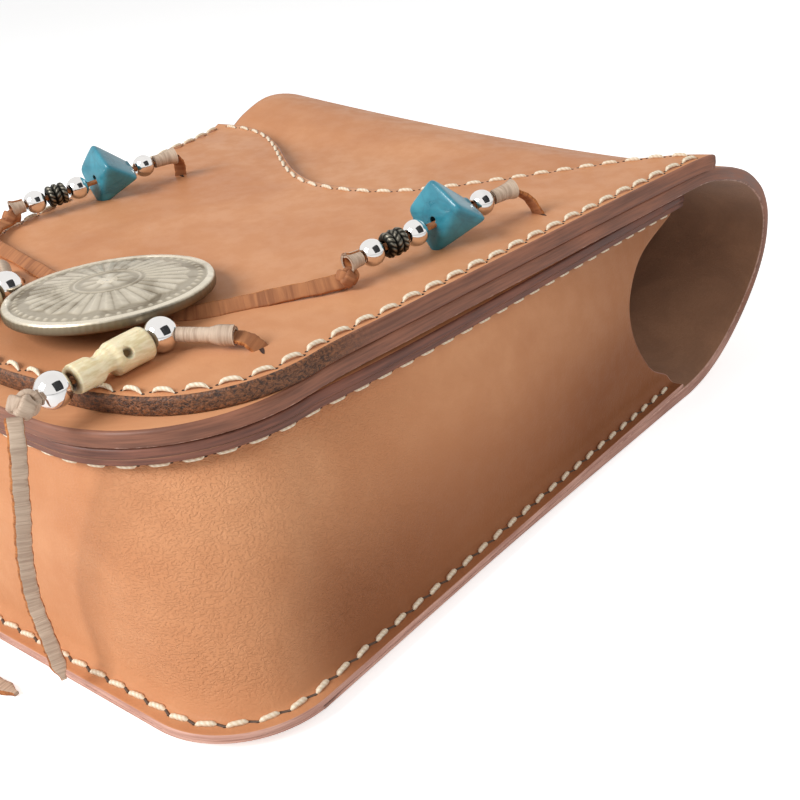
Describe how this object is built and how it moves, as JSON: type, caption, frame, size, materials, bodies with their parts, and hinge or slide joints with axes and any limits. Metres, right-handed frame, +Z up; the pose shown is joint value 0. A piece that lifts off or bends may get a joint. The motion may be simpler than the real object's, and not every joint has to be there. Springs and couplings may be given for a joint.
{
  "type": "beaded leather medicine bag",
  "caption": "Saddle-leather flap bag with a rolled top, a stitched overlay, a domed metal disc and laces strung with stone, bone and silver beads",
  "frame": {"origin": "middle of the underside of the bag as it lies on its back, measured without the two free lace ends", "axes": "+Z up out of the table through the flap, +Y from the bottom of the bag to its rolled top, +X to the right-hand side seen from above with the roll away"},
  "size_m": [0.1414, 0.1988, 0.0728],
  "materials": {
    "wrap_leather": "vegetable-tanned saddle leather, fine grain, burnished edges",
    "overlay_leather": "vegetable-tanned saddle leather with a fibrous cut edge",
    "front_leather": "vegetable-tanned saddle leather, burnished edge",
    "gusset_leather": "thinner saddle leather, wrinkled grain at the formed corners",
    "disc_silver": "aged silver, dark in the recesses",
    "snap_metal": "aged metal snap",
    "dark_silver": "oxidised twisted wire",
    "bead_silver": "polished silver",
    "turquoise_stone": "polished stone",
    "carved_bone": "smooth carved bone",
    "lace_grain": "pale grain side of a leather lace, cross-wrinkled",
    "lace_flesh": "brown flesh side and cut edge of a leather lace"
  },
  "bodies": {
    "bag": {"back_panel": "wrap_leather", "gusset": "gusset_leather", "front_panel": "front_leather", "snap_stud": "snap_metal"},
    "flap": {"concho_disc": "disc_silver", "concho_post": "disc_silver", "far_bone_bone_bead": "carved_bone", "far_bone_bottom_knot": "lace_grain", "far_bone_silver_1": "bead_silver", "far_bone_silver_2": "bead_silver", "far_bone_string_lace": "lace_flesh", "far_bone_tail": "lace_grain", "far_bone_top_fold": "lace_flesh", "far_bone_top_sleeve": "lace_grain", "far_bottom_knot": "lace_flesh", "far_bottom_sleeve": "lace_grain", "far_bridge_lace": "lace_flesh", "far_dark_bead": "dark_silver", "far_silver_1": "bead_silver", "far_silver_2": "bead_silver", "far_silver_3": "bead_silver", "far_string_lace": "lace_flesh", "far_top_fold": "lace_flesh", "far_top_sleeve": "lace_grain", "far_turquoise": "turquoise_stone", "flap_panel": "wrap_leather", "near_bone_bone_bead": "carved_bone", "near_bone_bottom_knot": "lace_grain", "near_bone_silver_1": "bead_silver", "near_bone_silver_2": "bead_silver", "near_bone_string_lace": "lace_flesh", "near_bone_tail": "lace_grain", "near_bone_top_fold": "lace_flesh", "near_bone_top_sleeve": "lace_grain", "near_bottom_knot": "lace_flesh", "near_bottom_sleeve": "lace_grain", "near_bridge_lace": "lace_flesh", "near_dark_bead": "dark_silver", "near_silver_1": "bead_silver", "near_silver_2": "bead_silver", "near_silver_3": "bead_silver", "near_string_lace": "lace_flesh", "near_top_fold": "lace_flesh", "near_top_sleeve": "lace_grain", "near_turquoise": "turquoise_stone", "overlay_panel": "overlay_leather", "snap_socket": "snap_metal"}
  },
  "joints": [
    {"name": "flap_hinge", "type": "hinge", "parent": "bag", "child": "flap", "pos_m": [0, 0.09598, 0.0295], "axis": [-1, 0, 0], "range_deg": [0, 110]}
  ]
}
